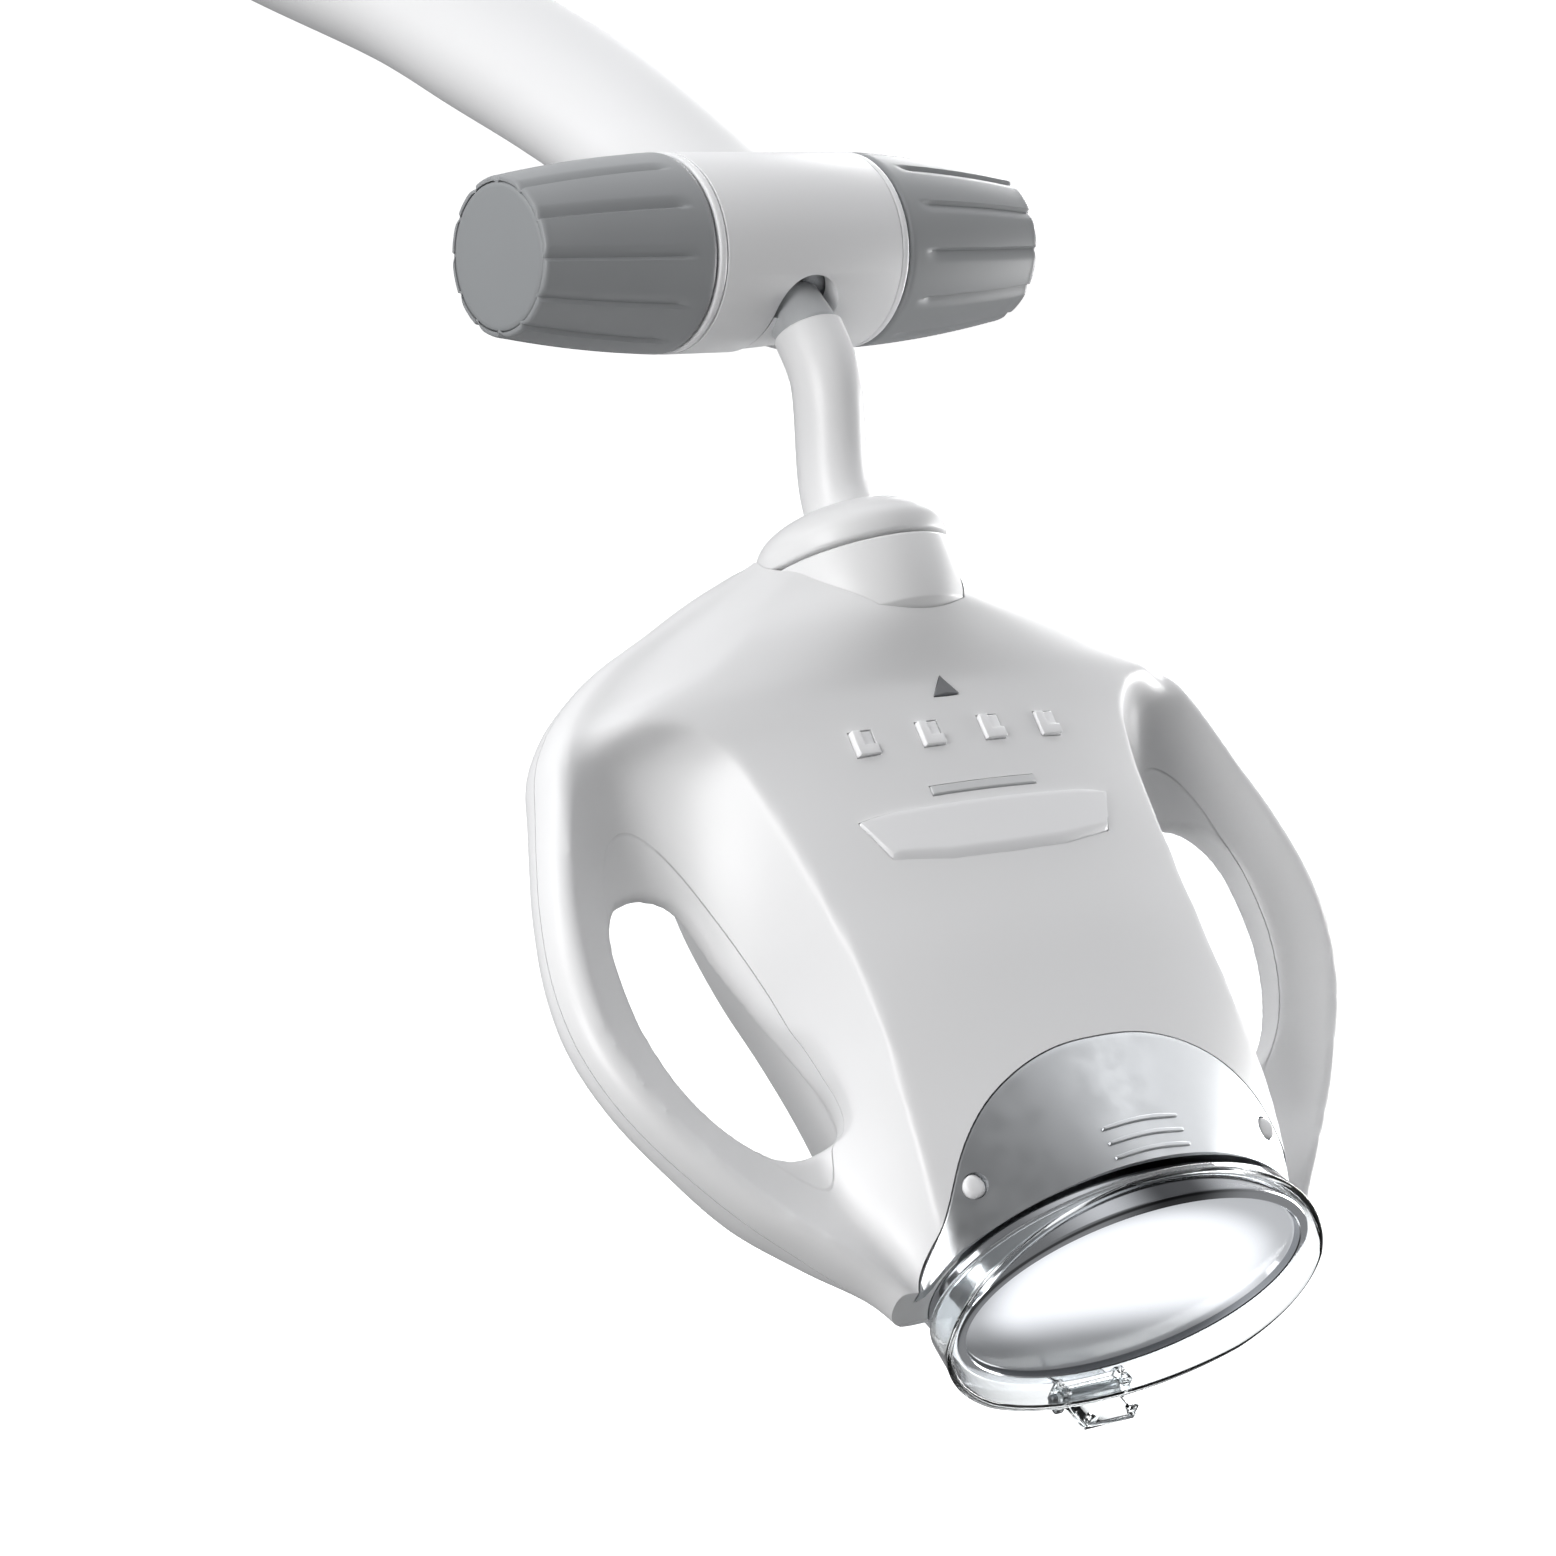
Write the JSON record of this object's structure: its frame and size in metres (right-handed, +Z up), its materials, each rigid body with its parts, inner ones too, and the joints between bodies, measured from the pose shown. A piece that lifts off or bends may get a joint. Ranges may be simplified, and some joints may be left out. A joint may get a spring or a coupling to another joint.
{
  "type": "teeth whitening lamp",
  "caption": "Teeth whitening lamp head with two grip loops and an oval light port, hung from a clamped tilting joint on a curved arm.",
  "frame": {"origin": "centre of the flat face of the arm flange", "axes": "+Z up, -Y towards the front of the lamp head, +X along the knob axis to the right of a person who faces the panel"},
  "size_m": [0.2642, 0.4742, 0.4511],
  "materials": {
    "white_gloss": "smooth gloss moulded",
    "white_soft": "smooth moulded",
    "knob_grey": "satin moulded",
    "cap_grey": "satin moulded",
    "sleeve_grey": "satin moulded",
    "silver": "satin plated",
    "cast_aluminium": "cast, lacquered",
    "panel_grey": "printed",
    "panel_dark": "printed",
    "steel": "turned",
    "friction": "matt pressed",
    "board_green": "solder mask",
    "aluminium": "extruded",
    "fan_black": "moulded",
    "lens_glow": "frosted, lit",
    "clear": "clear moulded"
  },
  "bodies": {
    "arm": {"arm_flange": "cast_aluminium", "flange_screw_1": "steel", "flange_screw_2": "steel", "flange_screw_3": "steel", "flange_screw_4": "steel", "arm_beam": "white_gloss", "joint_housing": "white_gloss", "tilt_shaft": "steel", "trim_ring_left": "white_soft", "trim_ring_right": "white_soft", "friction_disc_left": "friction", "friction_disc_right": "friction"},
    "stem": {"stem_hub": "steel", "stem_sleeve": "sleeve_grey", "stem_tube": "white_gloss", "neck_collar": "white_gloss"},
    "left_knob": {"knob_left": "knob_grey", "knob_cap_left": "cap_grey"},
    "right_knob": {"knob_right": "knob_grey", "knob_cap_right": "cap_grey"},
    "lamp_head": {"neck_barrel": "white_gloss", "front_shell": "white_gloss", "rear_shell": "white_gloss", "badge_plate": "white_soft", "status_bar": "panel_grey", "status_marker": "panel_dark", "visor": "silver", "visor_stud_left": "white_soft", "visor_stud_right": "white_soft", "bezel": "silver", "lens": "lens_glow", "reflector": "aluminium", "light_board": "board_green", "heat_sink": "aluminium", "fan_frame": "fan_black", "control_board": "board_green", "shell_screw_1": "steel", "shell_screw_2": "steel", "shell_screw_3": "steel", "shell_screw_4": "steel", "adapter_ring": "clear", "clip_pin": "steel"},
    "fan": {"fan_rotor": "fan_black"},
    "clip": {"adapter_clip": "clear"},
    "button_1": {"key_1": "white_soft"},
    "button_2": {"key_2": "white_soft"},
    "button_3": {"key_3": "white_soft"},
    "button_4": {"key_4": "white_soft"}
  },
  "joints": [
    {"name": "stem_tilt", "type": "hinge", "parent": "arm", "child": "stem", "pos_m": [0, -0.305, -0.116], "axis": [1, 0, 0], "range_deg": [-9, 50]},
    {"name": "head_swivel", "type": "hinge", "parent": "stem", "child": "lamp_head", "pos_m": [0, -0.3475, -0.1975], "axis": [0, 0.4067, 0.9135], "range_deg": [-90, 90]},
    {"name": "left_knob_turn", "type": "hinge", "parent": "arm", "child": "left_knob", "pos_m": [-0.06, -0.305, -0.116], "axis": [-1, 0, 0], "range_deg": [-180, 180]},
    {"name": "right_knob_turn", "type": "hinge", "parent": "arm", "child": "right_knob", "pos_m": [0.06, -0.305, -0.116], "axis": [1, 0, 0], "range_deg": [-180, 180]},
    {"name": "fan_spin", "type": "hinge", "parent": "lamp_head", "child": "fan", "pos_m": [0, -0.38739, -0.2995], "axis": [0, 0.5592, 0.829], "continuous": true},
    {"name": "clip_hinge", "type": "hinge", "parent": "lamp_head", "child": "clip", "pos_m": [0, -0.44081, -0.40682], "axis": [1, 0, 0], "range_deg": [0, 70]},
    {"name": "key_1_press", "type": "slide", "parent": "lamp_head", "child": "button_1", "axis": [0, 0.829, -0.5592], "range_m": [0, 0.0008], "stiffness_N_per_m": 600, "springref_m": -0.0008},
    {"name": "key_2_press", "type": "slide", "parent": "lamp_head", "child": "button_2", "axis": [0, 0.829, -0.5592], "range_m": [0, 0.0008], "stiffness_N_per_m": 600, "springref_m": -0.0008},
    {"name": "key_3_press", "type": "slide", "parent": "lamp_head", "child": "button_3", "axis": [0, 0.829, -0.5592], "range_m": [0, 0.0008], "stiffness_N_per_m": 600, "springref_m": -0.0008},
    {"name": "key_4_press", "type": "slide", "parent": "lamp_head", "child": "button_4", "axis": [0, 0.829, -0.5592], "range_m": [0, 0.0008], "stiffness_N_per_m": 600, "springref_m": -0.0008}
  ]
}
